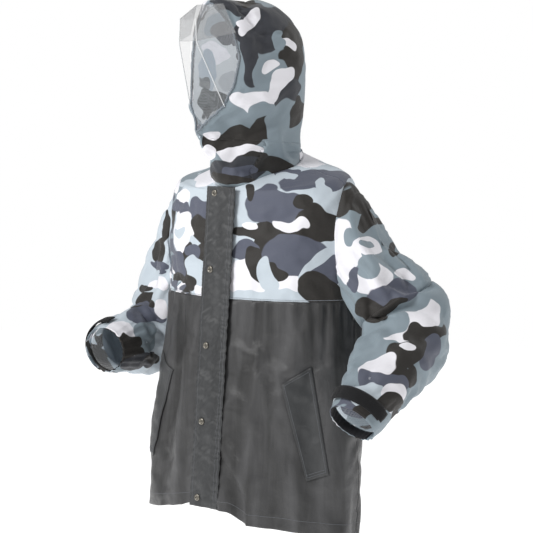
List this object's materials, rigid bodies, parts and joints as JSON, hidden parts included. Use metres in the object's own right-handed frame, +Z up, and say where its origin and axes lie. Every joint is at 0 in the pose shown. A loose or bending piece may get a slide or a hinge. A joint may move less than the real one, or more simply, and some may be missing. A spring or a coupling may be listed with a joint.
{
  "type": "beekeeping jacket",
  "caption": "Hooded protective jacket with brimmed see-through veil, camouflage yoke and sleeves, plain lower body, snapped storm flap over a zip, slanted pockets and strapped cuffs.",
  "frame": {"origin": "on the wearer's neck axis, level with the nape seam", "axes": "+Z up along the body, the wearer faces -Y, the wearer's left is +X"},
  "size_m": [0.7957, 0.3791, 1.047],
  "materials": {
    "camo_cloth": "printed matt polyester",
    "grey_cloth": "smooth taffeta with a soft sheen",
    "mesh": "open knitted mesh",
    "veil_mesh": "fine see-through mesh",
    "brim_film": "translucent stiffened sheet",
    "binding": "folded edge tape",
    "zip_tape": "woven tape",
    "zip_plastic": "moulded",
    "snap_metal": "antique plated",
    "elastic": "gathered elastic",
    "strap_cloth": "hook-and-loop tape"
  },
  "bodies": {
    "jacket": {"back_panel": "grey_cloth", "back_yoke": "camo_cloth", "collar_back": "camo_cloth", "collar_front": "camo_cloth", "front_panel_left": "grey_cloth", "front_panel_right": "grey_cloth", "front_yoke_left": "camo_cloth", "front_yoke_right": "camo_cloth", "pocket_bag_left": "grey_cloth", "pocket_bag_right": "grey_cloth", "pocket_welt_left": "grey_cloth", "pocket_welt_right": "grey_cloth", "snap_studs": "snap_metal", "zip_box": "zip_plastic", "zip_stops": "zip_plastic", "zip_tape_left": "zip_tape", "zip_tape_right": "zip_tape", "zip_teeth_left": "zip_plastic", "zip_teeth_right": "zip_plastic"},
    "flap": {"storm_flap": "grey_cloth", "snap_caps": "snap_metal", "snap_sockets": "snap_metal"},
    "slider": {"zip_slider": "zip_plastic", "zip_pull": "zip_plastic"},
    "hood": {"hood_left": "camo_cloth", "hood_right": "camo_cloth", "hood_lining": "mesh", "face_binding": "binding", "brim": "brim_film", "veil_front": "veil_mesh", "veil_chin": "veil_mesh", "veil_side_left": "veil_mesh", "veil_side_right": "veil_mesh", "veil_seam_left": "binding", "veil_seam_right": "binding"},
    "arm_left": {"sleeve_upper_left": "camo_cloth"},
    "forearm_left": {"sleeve_lower_left": "camo_cloth", "cuff_elastic_left": "elastic", "cuff_lining_left": "mesh", "strap_patch_left": "strap_cloth"},
    "strap_left": {"cuff_strap_left": "strap_cloth"},
    "arm_right": {"sleeve_upper_right": "camo_cloth"},
    "forearm_right": {"sleeve_lower_right": "camo_cloth", "cuff_elastic_right": "elastic", "cuff_lining_right": "mesh", "strap_patch_right": "strap_cloth"},
    "strap_right": {"cuff_strap_right": "strap_cloth"}
  },
  "joints": [
    {"name": "flap_open", "type": "hinge", "parent": "jacket", "child": "flap", "pos_m": [0.0325, -0.12997, -0.05537], "axis": [0, 0.0896, 0.996], "range_deg": [0, 150]},
    {"name": "zip_run", "type": "slide", "parent": "jacket", "child": "slider", "axis": [0, -0.0896, -0.996], "range_m": [0, 0.56]},
    {"name": "hood_tip", "type": "hinge", "parent": "jacket", "child": "hood", "pos_m": [0, 0.058, 0.0204], "axis": [-1, 0, 0], "range_deg": [0, 12]},
    {"name": "shoulder_left", "type": "hinge", "parent": "jacket", "child": "arm_left", "pos_m": [0.2122, -0.005, -0.165], "axis": [-1, 0, 0], "range_deg": [-20, 30]},
    {"name": "elbow_left", "type": "hinge", "parent": "arm_left", "child": "forearm_left", "pos_m": [0.39304, 0.0705, -0.31451], "axis": [-0.6595, 0.5359, -0.5271], "range_deg": [-45, 10]},
    {"name": "strap_peel_left", "type": "hinge", "parent": "forearm_left", "child": "strap_left", "pos_m": [0.33132, -0.19398, -0.44311], "axis": [-0.0487, -0.7302, -0.6815], "range_deg": [0, 100]},
    {"name": "shoulder_right", "type": "hinge", "parent": "jacket", "child": "arm_right", "pos_m": [-0.2122, -0.005, -0.165], "axis": [-1, 0, 0], "range_deg": [-8, 30]},
    {"name": "elbow_right", "type": "hinge", "parent": "arm_right", "child": "forearm_right", "pos_m": [-0.35093, 0.07443, -0.4056], "axis": [-0.8749, -0.2181, 0.4325], "range_deg": [-45, 10]},
    {"name": "strap_peel_right", "type": "hinge", "parent": "forearm_right", "child": "strap_right", "pos_m": [-0.30092, -0.18408, -0.35084], "axis": [0.1804, -0.9754, -0.1268], "range_deg": [0, 100]}
  ]
}
